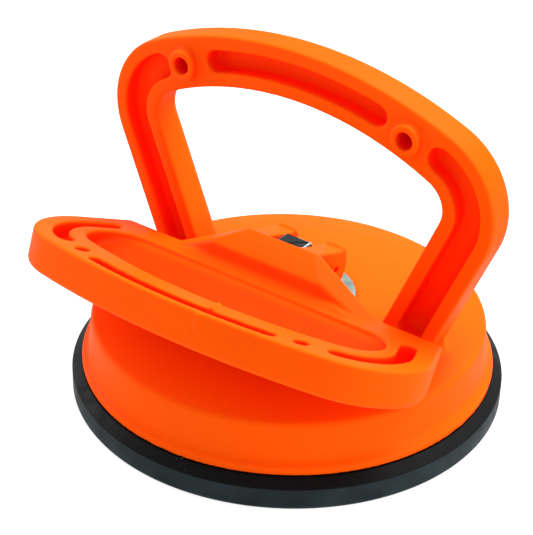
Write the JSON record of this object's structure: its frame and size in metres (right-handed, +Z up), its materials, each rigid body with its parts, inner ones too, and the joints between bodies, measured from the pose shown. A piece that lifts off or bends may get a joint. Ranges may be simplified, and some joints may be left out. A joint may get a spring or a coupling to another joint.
{
  "type": "vacuum suction cup",
  "caption": "Hand-held vacuum suction cup with a round rubber pad, a domed housing with a carrying handle and a cam lever that lifts the pad's steel core.",
  "frame": {"origin": "centre of the suction face, where the cup's axis meets the surface it stands on", "axes": "+Z up along the stem, X along the pivot pin and the handle, -Y towards the lever's grip"},
  "size_m": [0.1198, 0.118, 0.0979],
  "materials": {
    "orange_plastic": "glossy injection moulding",
    "black_rubber": "satin moulded rubber",
    "zinc_plated_steel": "zinc plated",
    "spring_steel": "drawn wire",
    "dark_steel": "black oxide"
  },
  "bodies": {
    "cup": {"housing": "orange_plastic", "rubber_pad": "black_rubber", "wear_plate": "zinc_plated_steel", "spring_seat_washer": "zinc_plated_steel", "return_spring": "spring_steel"},
    "core": {"stem": "dark_steel", "pad_core_plate": "zinc_plated_steel"},
    "lever": {"lever": "orange_plastic", "pivot_pin": "zinc_plated_steel", "pin_clip_left": "zinc_plated_steel", "pin_clip_right": "zinc_plated_steel"}
  },
  "joints": [
    {"name": "stem_lift", "type": "slide", "parent": "cup", "child": "core", "axis": [0, 0, 1], "range_m": [0, 0.003], "deforming": ["return_spring", "rubber_pad"]},
    {"name": "lever_swing", "type": "hinge", "parent": "core", "child": "lever", "pos_m": [0, 0.001, 0.0345], "axis": [-1, 0, 0], "range_deg": [0, 67]}
  ],
  "couplings": [
    {"joint": "stem_lift", "follows": "lever_swing", "m_per_rad": 0.0025655}
  ]
}
